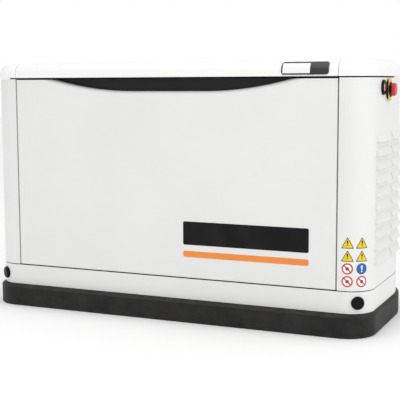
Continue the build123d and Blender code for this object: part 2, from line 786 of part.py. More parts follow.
with BuildPart() as starter_motor:
    rod((crank_x - 60, crank_y + 105 + 36, crank_height - 70), (1, 0, 0), 120, 35)
    rod((crank_x - 50, crank_y + 105 + 36, crank_height - 8), (1, 0, 0), 70, 20)
    block((crank_x - 45, crank_x + 15), (crank_y + 120, crank_y + 150), (crank_height - 45, crank_height - 20))
    block((crank_x - 40, crank_x + 10), (crank_y + 105, crank_y + 115), (crank_height - 100, crank_height - 65))
write_piece(starter_motor, "starter_motor")


# ---------------------------------------------------------------- alternator

with BuildPart() as alternator_frames:
    tube((stator_end, crank_y, crank_height), (1, 0, 0), 10, stator_radius, 60)
    tube((crank_x - case_half - 10, crank_y, crank_height), (1, 0, 0), 10, 112, 31)
    for strut in range(6):
        angle = math.radians(strut * 60 + 30)
        rod((stator_end + 10, crank_y + 96 * math.cos(angle), crank_height + 96 * math.sin(angle)),
            (1, 0, 0), crank_x - case_half - 20 - stator_end, 9)
    tube((stator_start - 10, crank_y, crank_height), (1, 0, 0), 10, stator_radius, 90)
    tube((stator_start - 10, crank_y, crank_height), (1, 0, 0), 10, 48, 31)
    for spoke in range(4):
        with BuildSketch(Plane(origin=(stator_start - 10, crank_y, crank_height), z_dir=(1, 0, 0))) as arm:
            with Locations(Rot(0, 0, spoke * 90 + 45) * Pos(70, 0, 0)):
                Rectangle(50, 22)
        extrude(arm.sketch, amount=10)
    cover_start = stator_start - 69
    tube((cover_start + 3, crank_y, crank_height), (1, 0, 0), 55.9, stator_radius - 6, stator_radius - 9)
    tube((cover_start, crank_y, crank_height), (1, 0, 0), 3, stator_radius - 6, 22)
    for slot in range(12):
        with BuildSketch(Plane(origin=(cover_start - 1, crank_y, crank_height), z_dir=(1, 0, 0))) as vent:
            with Locations(Rot(0, 0, slot * 30) * Pos(90, 0, 0)):
                SlotOverall(70, 12)
        extrude(vent.sketch, amount=5, mode=Mode.SUBTRACT)
write_piece(alternator_frames, "alternator_frames")

with BuildPart() as stator:
    tube((stator_start, crank_y, crank_height), (1, 0, 0), stator_length, stator_radius - 14,
         rotor_radius + 3)
write_piece(stator, "stator")

with BuildPart() as alternator_can:
    tube((stator_start, crank_y, crank_height), (1, 0, 0), stator_length, stator_radius, stator_radius - 14)
    for y in rail_y:
        block((stator_start + 20, stator_start + 90), (y - 28, y + 28), (feet_z, crank_height - 110))
    rod((stator_start, crank_y, crank_height), (1, 0, 0), stator_length, stator_radius - 14,
        mode=Mode.SUBTRACT)
write_piece(alternator_can, "alternator_can")

with BuildPart() as rotor:
    tube((stator_start + 12, crank_y, crank_height), (1, 0, 0), stator_length - 24, rotor_radius, shaft_radius)
    for slot in range(2):
        side = 1 - 2 * slot
        z_pair = sorted((crank_height + side * 62, crank_height + side * 100))
        block((stator_start, stator_end), (crank_y - 12, crank_y + 12), z_pair, mode=Mode.SUBTRACT)
    for start in (stator_start - 28, stator_start - 44):
        tube((start, crank_y, crank_height), (1, 0, 0), 10, 27, shaft_radius)
write_piece(rotor, "rotor")


# ---------------------------------------------------------------- mounting of the set

rail_start = stator_start - 20
rail_end = crank_x + case_half + 30
mount_x = (stator_start + 55, crank_x - 55, crank_x + 55)

with BuildPart() as rubber_mounts:
    for y in rail_y:
        for x in mount_x:
            rod((x, y, tray_floor_top + rail_height), (0, 0, 1), mount_height, 20)
write_piece(rubber_mounts, "rubber_mounts")


# ---------------------------------------------------------------- divider, muffler and exhaust

muffler_x = (divider_x + 42, divider_x + 182)
muffler_y = (-170.0, 150.0)
muffler_z = (120.0, 300.0)
port_z = 330.0

corner_run = max(0.0, divider_x + 20 - half_body + rear_corner_radius)
inner_radius = rear_corner_radius - flange_width
divider_rear = rear - rear_corner_radius + (inner_radius ** 2 - corner_run ** 2) ** 0.5 - 2

with BuildPart() as divider_wall:
    block((divider_x, divider_x + sheet), (front + 34, divider_rear), (tray_floor_top, panel_top - 8))
    for edge_y in (front + 34, divider_rear - 20):
        block((divider_x + sheet, divider_x + 20), (edge_y, edge_y + 20),
              (tray_floor_top, tray_floor_top + sheet))
    for y in (-95.0, 95.0):
        rod((divider_x - 5, crank_y + y, port_z + 60), (1, 0, 0), 20, 30, mode=Mode.SUBTRACT)
    rod((divider_x - 5, crank_y, crank_height), (1, 0, 0), 20, 62, mode=Mode.SUBTRACT)
write_piece(divider_wall, "divider_wall")

with BuildPart() as muffler:
    block(muffler_x, muffler_y, muffler_z)
    fillet(muffler.edges().filter_by(Axis.Y), 45)
    fillet(muffler.faces().sort_by(Axis.Y)[0].edges(), 10)
    fillet(muffler.faces().sort_by(Axis.Y)[-1].edges(), 10)
    rod((muffler_x[1] - 40, -20, muffler_z[0] + 60), (1, 0, 0), 62, 24)
    rod((muffler_x[1] - 30, -20, muffler_z[0] + 60), (1, 0, 0), 62, 21, mode=Mode.SUBTRACT)
write_piece(muffler, "muffler")

gather_x = (muffler_x[0] + muffler_x[1]) / 2
with BuildPart() as exhaust_pipes:
    for lean, shift in banks:
        head_plane = bank_plane(lean, shift + fin_half - 6, deck + head_height / 2)
        port = head_plane.origin + Vector(0, lean * 30, -30)
        drop_y = crank_y + lean * 95
        route_points = (
            (port.X, port.Y, port.Z),
            (port.X + 45, port.Y, port.Z),
            (divider_x - 10, drop_y, port_z + 60),
            (gather_x, drop_y, port_z + 60),
            (gather_x, drop_y, muffler_z[1]),
        )
        with BuildLine() as route:
            FilletPolyline(*route_points, radius=(24, 24, 34))
        with BuildSketch(Plane(origin=route_points[0], z_dir=(1, 0, 0))) as pipe_section:
            Circle(17)
            Circle(14.5, mode=Mode.SUBTRACT)
        sweep(pipe_section.sketch, path=route.line)
write_piece(exhaust_pipes, "exhaust_pipes")


# ---------------------------------------------------------------- battery and fuel

battery_x = (-half_body + 46.0, -half_body + 254.0)
battery_y = (front + 93.0, front + 266.0)
battery_z = tray_floor_top + 24
battery_height = 172.0

with BuildPart() as battery:
    block((battery_x[0], battery_x[1]), battery_y, (battery_z, battery_z + battery_height))
    fillet(battery.edges().filter_by(Axis.Z), 5)
    block((battery_x[0] - 1, battery_x[1] + 1), (battery_y[0] - 1, battery_y[0] + 40),
          (battery_z + battery_height - 22, battery_z + battery_height + 1), mode=Mode.SUBTRACT)
    for x in (battery_x[0] + 30, battery_x[1] - 30):
        rod((x, battery_y[0] + 20, battery_z + battery_height - 21.9), (0, 0, 1), 18, 9)
write_piece(battery, "battery")

regulator_x = -half_body + 190.0
regulator_y = 120.0
with BuildPart() as fuel_regulator:
    rod((regulator_x, regulator_y, gas_z - 30), (0, 0, 1), 26, 52)
    rod((regulator_x, regulator_y, gas_z - 4), (0, 0, 1), 8, 58)
    rod((regulator_x, regulator_y, gas_z + 4), (0, 0, 1), 26, 48)
    fillet(fuel_regulator.faces().sort_by(Axis.Z)[-1].edges(), 10)
    block((regulator_x - 30, regulator_x + 68), (regulator_y - 18, regulator_y + 18), (gas_z - 18, gas_z + 18))
    rod((regulator_x, regulator_y, gas_z + 30), (0, 0, 1), 18, 12)
write_piece(fuel_regulator, "fuel_regulator")

gas_points = (
    (regulator_x + 68, regulator_y, gas_z),
    (gas_x, regulator_y, gas_z),
    (gas_x, rear + 17, gas_z),
)
with BuildPart() as gas_inlet_pipe:
    with BuildLine() as route:
        FilletPolyline(*gas_points, radius=38)
    with BuildSketch(Plane(origin=gas_points[0], z_dir=(1, 0, 0))):
        Circle(gas_pipe_radius)
        Circle(gas_pipe_bore, mode=Mode.SUBTRACT)
    sweep()
    tube((gas_x, rear, gas_z), (0, 1, 0), 4, gas_pipe_radius + 8, gas_pipe_radius - 1)
write_piece(gas_inlet_pipe, "gas_inlet_pipe")

hose_z = mixer_z + 30
hose_points = (
    (regulator_x, regulator_y, gas_z + 48),
    (regulator_x, regulator_y, hose_z),
    (regulator_x + 110, crank_y, hose_z),
    (crank_x - 52, crank_y, hose_z),
)
with BuildPart() as fuel_hose:
    with BuildLine():
        FilletPolyline(*hose_points, radius=(60, 90))
    with BuildSketch(Plane(origin=hose_points[0], z_dir=(0, 0, 1))):
        Circle(10)
    sweep()
write_piece(fuel_hose, "fuel_hose")


# ---------------------------------------------------------------- controls

control_x = (-half_body + 62.0, -half_body + 262.0)
control_y = (front + 52.0, front + 190.0)
control_z = (430.0, 640.0)
fascia_y = control_y[0]

with BuildPart() as control_box:
    block(control_x, control_y, control_z)
    fillet(control_box.edges().filter_by(Axis.Y), 4)
    block((control_x[0] + sheet, control_x[1] - sheet), (control_y[0] - 1, control_y[1] - sheet),
          (control_z[0] + sheet, control_z[1] - sheet), mode=Mode.SUBTRACT)
write_piece(control_box, "control_box")

screen_x = (control_x[0] + 50, control_x[1] - 50)
screen_z = (control_z[1] - 82, control_z[1] - 32)
button_z = control_z[0] + 52
button_x = [(control_x[0] + control_x[1]) / 2 + step * 46 for step in (-1, 0, 1)]
button_radius = 11.0
button_travel = 2.0

with BuildPart() as controller_fascia:
    block(control_x, (fascia_y - 8, fascia_y), control_z)
    fillet(controller_fascia.faces().sort_by(Axis.Y)[0].edges(), 3)
    block(screen_x, (fascia_y - 9, fascia_y - 4), screen_z, mode=Mode.SUBTRACT)
    for x in button_x:
        rod((x, fascia_y + 1, button_z), (0, -1, 0), 12, button_radius + 0.4, mode=Mode.SUBTRACT)
write_piece(controller_fascia, "controller_fascia")

for x, mode_name in zip(button_x, ("auto", "off", "manual")):
    with BuildPart() as button:
        rod((x, fascia_y + 3, button_z), (0, -1, 0), 15, button_radius)
        fillet(button.faces().sort_by(Axis.Y)[0].edges(), 2)
    write_piece(button, f"{mode_name}_button")

breaker_x = (control_x[1] + 14, control_x[1] + 74)
breaker_z = (control_z[0] + 30, control_z[0] + 160)
breaker_swing = 50.0
pivot_y = control_y[0] + 26
pivot_z = (breaker_z[0] + breaker_z[1]) / 2

with BuildPart() as main_breaker:
    block(breaker_x, (control_y[0] + 14, control_y[0] + 84), breaker_z)
    fillet(main_breaker.faces().sort_by(Axis.Y)[0].edges(), 2)
    block((breaker_x[0] + 20, breaker_x[1] - 20), (control_y[0] + 13, control_y[0] + 44),
          (pivot_z - 28, pivot_z + 28), mode=Mode.SUBTRACT)
    rod((breaker_x[0] + 12, pivot_y, pivot_z), (1, 0, 0), 36, 3 + running_clearance, mode=Mode.SUBTRACT)
write_piece(main_breaker, "main_breaker")

with BuildPart() as breaker_handle:
    rod((breaker_x[0] + 20.5, pivot_y, pivot_z), (1, 0, 0), 19, 9)
    rod((breaker_x[0] + 14, pivot_y, pivot_z), (1, 0, 0), 32, 3)
    with Locations(Location((breaker_x[0] + 30, pivot_y, pivot_z), (-breaker_swing / 2, 0, 0))):
        Box(15, 30, 12, align=(Align.CENTER, Align.MAX, Align.CENTER))
write_piece(breaker_handle, "breaker_handle")

# ---------------------------------------------------------------- rails, stands and battery tray

with BuildPart() as support_frame:
    for y in rail_y:
        block((rail_start, rail_end), (y - 22, y + 22), (tray_floor_top, tray_floor_top + rail_height))
        block((rail_start - 1, rail_end + 1), (y - 19, y + 19),
              (tray_floor_top - 1, tray_floor_top + rail_height - 3), mode=Mode.SUBTRACT)
    for y in (-130.0, 90.0):
        block((muffler_x[0] + 45, muffler_x[1] - 45), (y, y + 30), (tray_floor_top, muffler_z[0]))
        block((muffler_x[0] + 48, muffler_x[1] - 48), (y - 1, y + 31), (tray_floor_top + 3, muffler_z[0] - 3),
              mode=Mode.SUBTRACT)
    block((battery_x[0] - 5, battery_x[1] + 5), (battery_y[0] - 5, battery_y[1] + 5),
          (tray_floor_top, battery_z + 22))
    block((battery_x[0] - 2, battery_x[1] + 2), (battery_y[0] - 2, battery_y[1] + 2),
          (battery_z, battery_z + 23), mode=Mode.SUBTRACT)
    block((regulator_x - 30, regulator_x + 30), (regulator_y - 30, regulator_y + 30),
          (tray_floor_top, tray_floor_top + 3))
    rod((regulator_x, regulator_y, tray_floor_top), (0, 0, 1), gas_z - 30 - tray_floor_top, 9)
    post_y = battery_y[1] + 10
    for x in (control_x[0] + 12, control_x[1] - 36):
        block((x, x + 24), (post_y, post_y + sheet), (tray_floor_top, control_z[1] - 10))
        block((x, x + 24), (control_y[1], post_y), (control_z[1] - 30, control_z[1] - 10))
        block((x, x + 24), (control_y[1], post_y), (control_z[0] + 10, control_z[0] + 30))
    block((control_x[1], breaker_x[0]), (control_y[0] + 40, control_y[0] + 60), breaker_z)
write_piece(support_frame, "support_frame")
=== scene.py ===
"""Looks of the home standby generator: finishes for every part, labels, screws and studio light.

Metres, +Z up.  The origin is the centre of the pad's underside and the front faces -Y.
"""

import json
import math

import bmesh
import bpy
from mathutils import Matrix, Vector


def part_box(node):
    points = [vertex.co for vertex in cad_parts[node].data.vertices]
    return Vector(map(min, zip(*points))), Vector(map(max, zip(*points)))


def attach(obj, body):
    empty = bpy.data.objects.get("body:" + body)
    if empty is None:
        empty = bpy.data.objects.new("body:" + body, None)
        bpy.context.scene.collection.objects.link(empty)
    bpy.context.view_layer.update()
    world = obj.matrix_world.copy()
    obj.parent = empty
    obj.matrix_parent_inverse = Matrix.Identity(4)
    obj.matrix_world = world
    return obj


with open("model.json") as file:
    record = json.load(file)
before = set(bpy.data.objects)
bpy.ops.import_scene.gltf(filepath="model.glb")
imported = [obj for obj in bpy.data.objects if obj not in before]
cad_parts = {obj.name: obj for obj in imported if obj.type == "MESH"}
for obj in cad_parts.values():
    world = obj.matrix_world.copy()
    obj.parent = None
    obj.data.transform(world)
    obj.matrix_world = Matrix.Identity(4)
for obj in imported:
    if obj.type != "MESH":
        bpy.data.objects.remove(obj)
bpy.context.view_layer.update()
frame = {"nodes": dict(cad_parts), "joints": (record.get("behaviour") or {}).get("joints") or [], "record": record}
nodes = frame["nodes"]


# ---------------------------------------------------------------- places taken from the cabinet

tray_low, tray_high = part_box("base_tray")
badge_low, badge_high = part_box("lid_badge")
rear_low, rear_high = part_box("rear_panel")
fascia_low, fascia_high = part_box("controller_fascia")

FRONT = tray_low.y
HALF_BODY = tray_high.x
CORNER_RADIUS = 0.070
CORNER_START = HALF_BODY - CORNER_RADIUS


# ---------------------------------------------------------------- shader node helpers

def new_group(name, inputs, outputs):
    """Shader node group with named number sockets; returns the tree and its two end nodes."""
    tree = bpy.data.node_groups.new(name, "ShaderNodeTree")
    for label, value in inputs.items():
        socket = tree.interface.new_socket(label, in_out="INPUT", socket_type="NodeSocketFloat")
        socket.default_value = value
    for label in outputs:
        tree.interface.new_socket(label, in_out="OUTPUT", socket_type="NodeSocketFloat")
    return tree, tree.nodes.new("NodeGroupInput"), tree.nodes.new("NodeGroupOutput")


def add_node(tree, kind, links=(), **values):
    """Node of a kind with its properties or input values set and its inputs linked."""
    node = tree.nodes.new(kind)
    for key, value in values.items():
        if hasattr(node, key):
            setattr(node, key, value)
        else:
            node.inputs[key.replace("_", " ")].default_value = value
    for target, source in links:
        tree.links.new(source, node.inputs[target])
    return node


def arithmetic(tree, operation, first, second):
    """Math node on two values, each a socket or a number."""
    node = add_node(tree, "ShaderNodeMath", operation=operation)
    for place, value in enumerate((first, second)):
        if isinstance(value, (int, float)):
            node.inputs[place].default_value = value
        else:
            tree.links.new(value, node.inputs[place])
    return node.outputs[0]


def span(tree, value, low, high, start=0.0, end=1.0):
    """Map Range from low..high to start..end, clamped."""
    node = add_node(tree, "ShaderNodeMapRange", links=[("Value", value)])
    node.inputs["From Min"].default_value = low
    node.inputs["From Max"].default_value = high
    node.inputs["To Min"].default_value = start
    node.inputs["To Max"].default_value = end
    return node.outputs[0]


def stretched_place(tree, stretch):
    """Object coordinates multiplied by three stretches."""
    place = add_node(tree, "ShaderNodeTexCoord").outputs["Object"]
    mapping = add_node(tree, "ShaderNodeMapping", links=[("Vector", place)])
    mapping.inputs["Scale"].default_value = stretch
    return mapping.outputs["Vector"]


def noise(tree, scale, detail=3.0, roughness=0.5, place=None):
    """Noise texture on object coordinates; scale is a number or a socket."""
    place = place or add_node(tree, "ShaderNodeTexCoord").outputs["Object"]
    node = add_node(tree, "ShaderNodeTexNoise", links=[("Vector", place)],
                    Detail=detail, Roughness=roughness)
    if isinstance(scale, (int, float)):
        node.inputs["Scale"].default_value = scale
    else:
        tree.links.new(scale, node.inputs["Scale"])
    return node.outputs["Fac"]


# ---------------------------------------------------------------- effects shared by the finishes

def make_powder_coat():
    """Orange-peel relief and a faint cloudiness of sprayed and baked paint."""
    tree, given, result = new_group("Powder coat", {"Peel Scale": 420.0}, ("Height", "Mask"))
    peel = noise(tree, given.outputs["Peel Scale"], detail=1.0)
    cloud = noise(tree, 3.5, detail=4.0)
    tree.links.new(peel, result.inputs["Height"])
    tree.links.new(span(tree, cloud, 0.35, 0.65), result.inputs["Mask"])
    return tree


def make_moulded_grain():
    """Fine spark-eroded texture of a moulded plastic part."""
    tree, given, result = new_group("Moulded grain", {"Grain Scale": 900.0}, ("Height", "Mask"))
    grain = noise(tree, given.outputs["Grain Scale"], detail=2.0, roughness=0.7)
    patches = noise(tree, 14.0, detail=5.0)
    tree.links.new(span(tree, grain, 0.3, 0.7), result.inputs["Height"])
    tree.links.new(span(tree, patches, 0.35, 0.68), result.inputs["Mask"])
    return tree


def make_brushed_grain():
    """Long scratches along one direction of bare metal."""
    tree, given, result = new_group("Brushed grain", {"Line Scale": 60.0}, ("Height", "Mask"))
    lines = noise(tree, given.outputs["Line Scale"], detail=6.0, roughness=0.75,
                  place=stretched_place(tree, (0.5, 18.0, 18.0)))
    stains = noise(tree, 11.0, detail=5.0)
    tree.links.new(lines, result.inputs["Height"])
    stained = span(tree, lines, 0.3, 0.7)
    blended = arithmetic(tree, "MULTIPLY", stained, span(tree, stains, 0.3, 0.6, 0.4, 1.0))
    tree.links.new(blended, result.inputs["Mask"])
    return tree


def make_zinc_spangle():
    """Crystal patches of galvanised sheet."""
    tree, given, result = new_group("Zinc spangle", {"Patch Scale": 90.0}, ("Height", "Mask"))
    place = add_node(tree, "ShaderNodeTexCoord").outputs["Object"]
    patches = add_node(tree, "ShaderNodeTexVoronoi",
                       links=[("Vector", place), ("Scale", given.outputs["Patch Scale"])])
    shade = add_node(tree, "ShaderNodeSeparateColor", links=[("Color", patches.outputs["Color"])])
    fine = noise(tree, 500.0, detail=2.0)
    tree.links.new(fine, result.inputs["Height"])
    tree.links.new(shade.outputs[0], result.inputs["Mask"])
    return tree


def make_cast_skin():
    """Sand-cast skin: small lumps, with darker patches at random."""
    tree, given, result = new_group("Cast skin", {"Lump Scale": 260.0}, ("Height", "Mask"))
    lumps = noise(tree, given.outputs["Lump Scale"], detail=5.0, roughness=0.65)
    dirt = noise(tree, 24.0, detail=6.0, roughness=0.6)
    tree.links.new(lumps, result.inputs["Height"])
    tree.links.new(span(tree, dirt, 0.36, 0.62), result.inputs["Mask"])
    return tree


def make_foam_cells():
    """Open cells of acoustic foam; the colour darkens into the cell hollows, which is painted shade."""
    tree, given, result = new_group("Foam cells with pore shade", {"Cell Scale": 230.0}, ("Height", "Mask"))
    place = add_node(tree, "ShaderNodeTexCoord").outputs["Object"]
    cells = add_node(tree, "ShaderNodeTexVoronoi",
                     links=[("Vector", place), ("Scale", given.outputs["Cell Scale"])])
    depth_and_pore_shade = span(tree, cells.outputs["Distance"], 0.0, 0.6)
    tree.links.new(depth_and_pore_shade, result.inputs["Height"])
    # the depth also sets the colour, so the cell hollows get painted shade
    tree.links.new(depth_and_pore_shade, result.inputs["Mask"])
    return tree


def make_steel_laminations():
    """Edges of thin stacked steel sheets, running round the shaft."""
    tree, given, result = new_group("Steel laminations", {"Sheet Scale": 320.0}, ("Height", "Mask"))
    place = add_node(tree, "ShaderNodeTexCoord").outputs["Object"]
    bands = add_node(tree, "ShaderNodeTexWave",
                     links=[("Vector", place), ("Scale", given.outputs["Sheet Scale"])],
                     bands_direction="X", Distortion=0.4)
    tree.links.new(bands.outputs["Fac"], result.inputs["Height"])
    tree.links.new(bands.outputs["Fac"], result.inputs["Mask"])
    return tree


def make_worn_edge():
    """Mask that is 1 along sharp edges, broken up by noise, and 0 on open faces."""
    tree, given, result = new_group("Worn edge", {"Edge Radius": 0.0015}, ("Mask",))
    rounded = add_node(tree, "ShaderNodeBevel", links=[("Radius", given.outputs["Edge Radius"])], samples=4)
    plain = add_node(tree, "ShaderNodeNewGeometry").outputs["Normal"]
    facing = add_node(tree, "ShaderNodeVectorMath", operation="DOT_PRODUCT")
    tree.links.new(rounded.outputs["Normal"], facing.inputs[0])
    tree.links.new(plain, facing.inputs[1])
    edge = span(tree, facing.outputs["Value"], 0.99, 0.86)
    broken = span(tree, noise(tree, 55.0, detail=5.0, roughness=0.7), 0.42, 0.62)
    tree.links.new(arithmetic(tree, "MULTIPLY", edge, broken), result.inputs["Mask"])
    return tree


def make_settled_dust():
    """Mask of fine dust on faces that look up and on everything close to the ground."""
    tree, given, result = new_group("Settled dust", {"Reach": 0.10}, ("Mask",))
    surface = add_node(tree, "ShaderNodeNewGeometry").outputs
    upward = add_node(tree, "ShaderNodeSeparateXYZ", links=[("Vector", surface["Normal"])]).outputs["Z"]
    height = add_node(tree, "ShaderNodeSeparateXYZ", links=[("Vector", surface["Position"])]).outputs["Z"]
    low = arithmetic(tree, "SUBTRACT", 1.0, arithmetic(tree, "DIVIDE", height, given.outputs["Reach"]))
    lying = arithmetic(tree, "MAXIMUM", span(tree, upward, 0.3, 1.0), span(tree, low, 0.0, 1.0, 0.0, 0.6))
    patchy = span(tree, noise(tree, 30.0, detail=6.0, roughness=0.65), 0.35, 0.7)
    tree.links.new(arithmetic(tree, "MULTIPLY", lying, patchy), result.inputs["Mask"])
    return tree


POWDER = make_powder_coat()
GRAIN = make_moulded_grain()
BRUSHED = make_brushed_grain()
SPANGLE = make_zinc_spangle()
CAST = make_cast_skin()
FOAM = make_foam_cells()
LAMINATIONS = make_steel_laminations()
WORN = make_worn_edge()
DUST = make_settled_dust()


# ---------------------------------------------------------------- finishes

def mix_colour(tree, mask, first, second):
    """Colour mix by a mask; each colour is a socket or three numbers."""
    node = add_node(tree, "ShaderNodeMix", data_type="RGBA")
    tree.links.new(mask, node.inputs["Factor"])
    for place, colour in (("A", first), ("B", second)):
        socket = [one for one in node.inputs if one.name == place and one.type == "RGBA"][0]
        if isinstance(colour, tuple):
            socket.default_value = (*colour, 1.0)
        else:
            tree.links.new(colour, socket)
    return [one for one in node.outputs if one.type == "RGBA"][0]


def finish(name, effect, colour, shade, roughness, relief, metallic=0.0, coat=0.0,
           specular=0.5, wear=None, dust=None, **effect_values):
    """Material whose colour, roughness and relief follow one surface effect, with wear and dust."""
    material = bpy.data.materials.new(name)
    material.use_nodes = True
    tree = material.node_tree
    tree.nodes.clear()
    output = tree.nodes.new("ShaderNodeOutputMaterial")
    shader = tree.nodes.new("ShaderNodeBsdfPrincipled")
    tree.links.new(shader.outputs[0], output.inputs["Surface"])
    surface = add_node(tree, "ShaderNodeGroup", node_tree=effect)
    for label, value in effect_values.items():
        surface.inputs[label.replace("_", " ")].default_value = value
    base = mix_colour(tree, surface.outputs["Mask"], colour, shade)
    if dust:
        settled = add_node(tree, "ShaderNodeGroup", node_tree=DUST)
        amount = arithmetic(tree, "MULTIPLY", settled.outputs["Mask"], dust[1])
        base = mix_colour(tree, amount, base, dust[0])
    if wear:
        worn = add_node(tree, "ShaderNodeGroup", node_tree=WORN)
        amount = arithmetic(tree, "MULTIPLY", worn.outputs["Mask"], wear[1])
        base = mix_colour(tree, amount, base, wear[0])
    tree.links.new(base, shader.inputs["Base Color"])
    tree.links.new(span(tree, surface.outputs["Mask"], 0.0, 1.0, *roughness), shader.inputs["Roughness"])
    bump = add_node(tree, "ShaderNodeBump", links=[("Height", surface.outputs["Height"])],
                    Strength=relief[0], Distance=relief[1])
    tree.links.new(bump.outputs["Normal"], shader.inputs["Normal"])
    shader.inputs["Metallic"].default_value = metallic
    shader.inputs["Coat Weight"].default_value = coat
    shader.inputs["Coat Roughness"].default_value = 0.15
    shader.inputs["Specular IOR Level"].default_value = specular
    return material


LIGHT_DUST = (0.52, 0.48, 0.42)
BARE_STEEL = (0.55, 0.55, 0.56)

cabinet_paint = finish("cabinet powder coat", POWDER, (0.82, 0.82, 0.805), (0.795, 0.795, 0.78),
                       (0.36, 0.44), (0.10, 0.0003), coat=0.12, dust=(LIGHT_DUST, 0.06))
lid_paint = finish("lid powder coat", POWDER, (0.93, 0.93, 0.925), (0.91, 0.91, 0.905),
                   (0.33, 0.41), (0.10, 0.0003), coat=0.12, dust=(LIGHT_DUST, 0.03))
pad_plastic = finish("pad composite", GRAIN, (0.013, 0.013, 0.013), (0.022, 0.021, 0.020),
                     (0.46, 0.60), (0.35, 0.0006), specular=0.16, wear=((0.09, 0.09, 0.09), 0.5),
                     dust=(LIGHT_DUST, 0.05), Grain_Scale=520.0)
black_plastic = finish("black moulded plastic", GRAIN, (0.006, 0.006, 0.007), (0.011, 0.011, 0.012),
                       (0.26, 0.38), (0.20, 0.0002), specular=0.06, dust=(LIGHT_DUST, 0.02))
# Black seal rubber; behind the panel seams its black also stands in for the shade in the gaps, as painted shade.
seal_rubber = finish("weather seal rubber and painted seam shade", GRAIN, (0.006, 0.006, 0.006), (0.010, 0.010, 0.010),
                     (0.70, 0.82), (0.30, 0.0003), specular=0.05, Grain_Scale=600.0)
hose_rubber = finish("hose and mount rubber", GRAIN, (0.014, 0.014, 0.014), (0.026, 0.025, 0.024),
                     (0.62, 0.78), (0.35, 0.0004), specular=0.3, dust=(LIGHT_DUST, 0.10), Grain_Scale=380.0)
# the darker colour fills the foam's cell hollows as painted shade
foam_liner = finish("acoustic foam", FOAM, (0.020, 0.020, 0.022), (0.075, 0.075, 0.080),
                    (0.85, 0.98), (0.9, 0.0030), specular=0.2)
zinc_steel = finish("galvanised sheet", SPANGLE, (0.50, 0.52, 0.54), (0.64, 0.65, 0.66),
                    (0.34, 0.48), (0.12, 0.0002), metallic=0.9, dust=(LIGHT_DUST, 0.12))
# Black engine paint on the engine covers and frame; on the front rail its black also stands in for the shade seen
# through the grip scoop and door gap, as painted shade.
frame_paint = finish("black engine paint and painted gap shade", POWDER, (0.008, 0.008, 0.009), (0.014, 0.014, 0.015),
                     (0.32, 0.46), (0.18, 0.0004), coat=0.05, specular=0.25, wear=(BARE_STEEL, 0.4),
                     dust=(LIGHT_DUST, 0.04), Peel_Scale=300.0)
cast_aluminium = finish("cast aluminium", CAST, (0.60, 0.60, 0.59), (0.42, 0.42, 0.41),
                        (0.42, 0.62), (0.45, 0.0006), metallic=0.85, wear=((0.78, 0.78, 0.77), 0.6))
lock_chrome = finish("lock chrome", BRUSHED, (0.72, 0.72, 0.74), (0.62, 0.62, 0.64),
                     (0.10, 0.22), (0.05, 0.0001), metallic=1.0)
stop_red = finish("stop button red", GRAIN, (0.57, 0.018, 0.020), (0.50, 0.014, 0.016),
                  (0.22, 0.32), (0.06, 0.0001), coat=0.3, specular=0.35)
stop_yellow = finish("stop plate yellow", GRAIN, (0.84, 0.58, 0.03), (0.76, 0.50, 0.025),
                     (0.32, 0.42), (0.08, 0.0001), coat=0.2)
lamination_steel = finish("stacked laminations", LAMINATIONS, (0.15, 0.12, 0.10), (0.36, 0.33, 0.30),
                          (0.38, 0.55), (0.5, 0.0005), metallic=0.7)
shaft_steel = finish("ground shaft steel", BRUSHED, (0.60, 0.60, 0.61), (0.46, 0.46, 0.47),
                     (0.18, 0.34), (0.12, 0.0001), metallic=1.0)
muffler_steel = finish("aluminised muffler steel", CAST, (0.52, 0.50, 0.47), (0.34, 0.27, 0.22),
                       (0.34, 0.56), (0.25, 0.0004), metallic=0.9, Lump_Scale=160.0)
battery_plastic = finish("battery case plastic", GRAIN, (0.030, 0.030, 0.034), (0.045, 0.045, 0.050),
                         (0.40, 0.55), (0.22, 0.0003), dust=(LIGHT_DUST, 0.20))
filter_paint = finish("filter can paint", POWDER, (0.74, 0.74, 0.73), (0.68, 0.68, 0.67),
                      (0.20, 0.30), (0.12, 0.0003), coat=0.4)
plug_ceramic = finish("spark plug ceramic", GRAIN, (0.86, 0.85, 0.82), (0.80, 0.79, 0.76),
                      (0.12, 0.20), (0.03, 0.0001), coat=0.6)
button_plastic = finish("key cap plastic", GRAIN, (0.34, 0.35, 0.36), (0.30, 0.31, 0.32),
                        (0.30, 0.42), (0.12, 0.0002))
die_cast_zinc = finish("die-cast zinc", CAST, (0.52, 0.53, 0.54), (0.42, 0.43, 0.44),
                       (0.40, 0.56), (0.25, 0.0004), metallic=0.8)
badge_white = finish("badge white", GRAIN, (0.90, 0.90, 0.90), (0.86, 0.86, 0.86),
                     (0.22, 0.30), (0.04, 0.0001), coat=0.4)
print_black = finish("printed black", GRAIN, (0.008, 0.008, 0.009), (0.014, 0.014, 0.015),
                     (0.32, 0.42), (0.10, 0.0001), specular=0.10)
print_orange = finish("printed orange", GRAIN, (0.88, 0.27, 0.030), (0.83, 0.24, 0.026),
                      (0.32, 0.42), (0.10, 0.0001), coat=0.2)
sign_white = finish("sign white", GRAIN, (0.90, 0.90, 0.89), (0.85, 0.85, 0.84),
                    (0.34, 0.44), (0.06, 0.0001))
sign_yellow = finish("sign yellow", GRAIN, (0.84, 0.64, 0.006), (0.76, 0.56, 0.006),
                     (0.34, 0.44), (0.06, 0.0001))
sign_red = finish("sign red", GRAIN, (0.60, 0.015, 0.012), (0.52, 0.012, 0.010),
                  (0.34, 0.44), (0.06, 0.0001))
sign_blue = finish("sign blue", GRAIN, (0.012, 0.12, 0.42), (0.010, 0.10, 0.36),
                   (0.34, 0.44), (0.06, 0.0001))
screen_glass = finish("display glass", GRAIN, (0.010, 0.016, 0.014), (0.016, 0.024, 0.020),
                      (0.06, 0.12), (0.02, 0.0001), coat=1.0)

